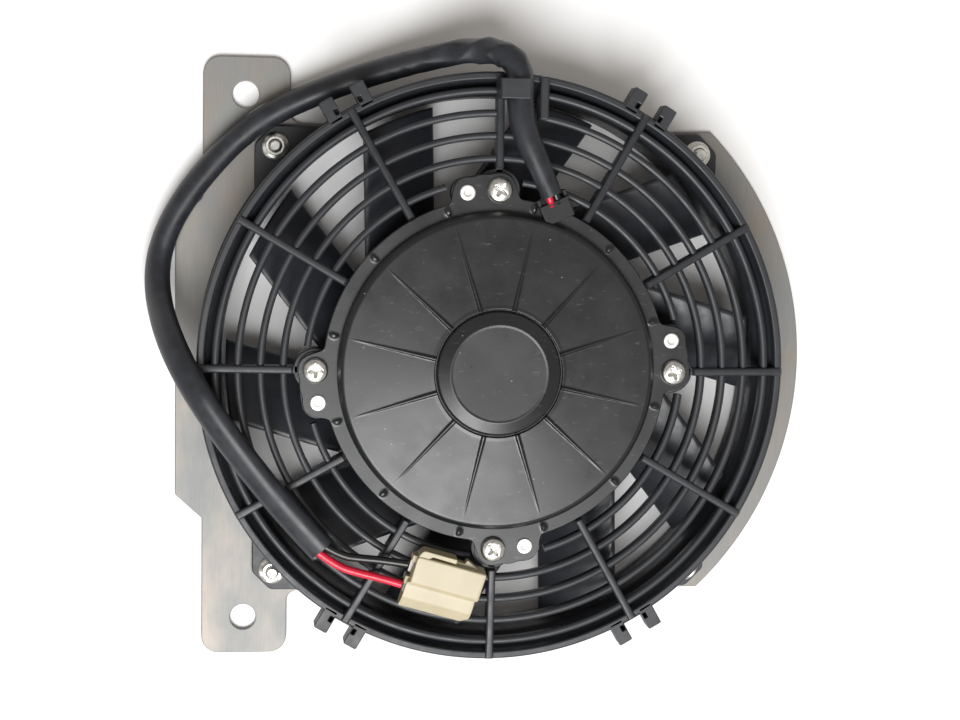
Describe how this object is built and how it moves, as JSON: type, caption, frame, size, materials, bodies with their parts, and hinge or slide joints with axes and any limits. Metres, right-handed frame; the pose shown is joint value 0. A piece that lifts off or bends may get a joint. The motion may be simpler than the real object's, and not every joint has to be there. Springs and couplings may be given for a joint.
{
  "type": "axial fan module",
  "caption": "Electric axial fan module of a hydraulic oil cooler: guard grille shroud, flat motor and impeller on a sheet-metal plate, with a sleeved lead and plug.",
  "frame": {"origin": "on the fan's axis, in the plane of the mounting plate's underside", "axes": "+Z along the fan's axis, from the plate towards the motor; +X away from the strip with the two mounting holes; +Y along that strip, towards the end where the lead crosses the rim"},
  "size_m": [0.2884, 0.2674, 0.0534],
  "materials": {
    "plate_steel": "brushed sheet, lightly scratched",
    "zinc_steel": "bright zinc plating",
    "rivet_steel": "bright flat heads",
    "black_plastic": "moulded, satin",
    "impeller_plastic": "moulded, satin",
    "black_coated_steel": "semi-gloss black coating",
    "black_rubber": "moulded rubber",
    "ferrite": "ground ferrite",
    "lamination_steel": "stacked laminations",
    "copper_wire": "enamelled copper",
    "bearing_steel": "ground steel",
    "laminate": "phenolic laminate",
    "brass_strip": "stamped brass",
    "carbon": "pressed carbon and copper",
    "black_sleeve": "soft vinyl tube, satin",
    "red_insulation": "extruded vinyl",
    "black_insulation": "extruded vinyl",
    "cream_nylon": "natural nylon, slightly translucent"
  },
  "bodies": {
    "housing": {"mounting_plate": "plate_steel", "plate_studs": "zinc_steel", "flange_nuts": "zinc_steel", "shroud": "black_plastic", "motor_can": "black_coated_steel", "motor_cover": "black_coated_steel", "motor_screws": "zinc_steel", "cover_rivets": "rivet_steel", "lead_grommet": "black_rubber", "magnets": "ferrite", "bearing_outer_rings": "bearing_steel", "bearing_balls": "bearing_steel", "brush_plate": "laminate", "brush_holders": "brass_strip", "brushes": "carbon", "brush_springs": "bearing_steel", "cable_sleeve": "black_sleeve", "red_wire": "red_insulation", "black_wire": "black_insulation", "connector_housing": "cream_nylon", "connector_terminals": "brass_strip"},
    "rotor": {"impeller": "impeller_plastic", "hub_retainer": "bearing_steel", "motor_shaft": "bearing_steel", "armature_core": "lamination_steel", "armature_winding": "copper_wire", "commutator": "copper_wire", "bearing_inner_rings": "bearing_steel"}
  },
  "joints": [
    {"name": "impeller_spin", "type": "hinge", "parent": "housing", "child": "rotor", "pos_m": [0, 0, 0.02], "axis": [0, 0, 1], "continuous": true}
  ]
}
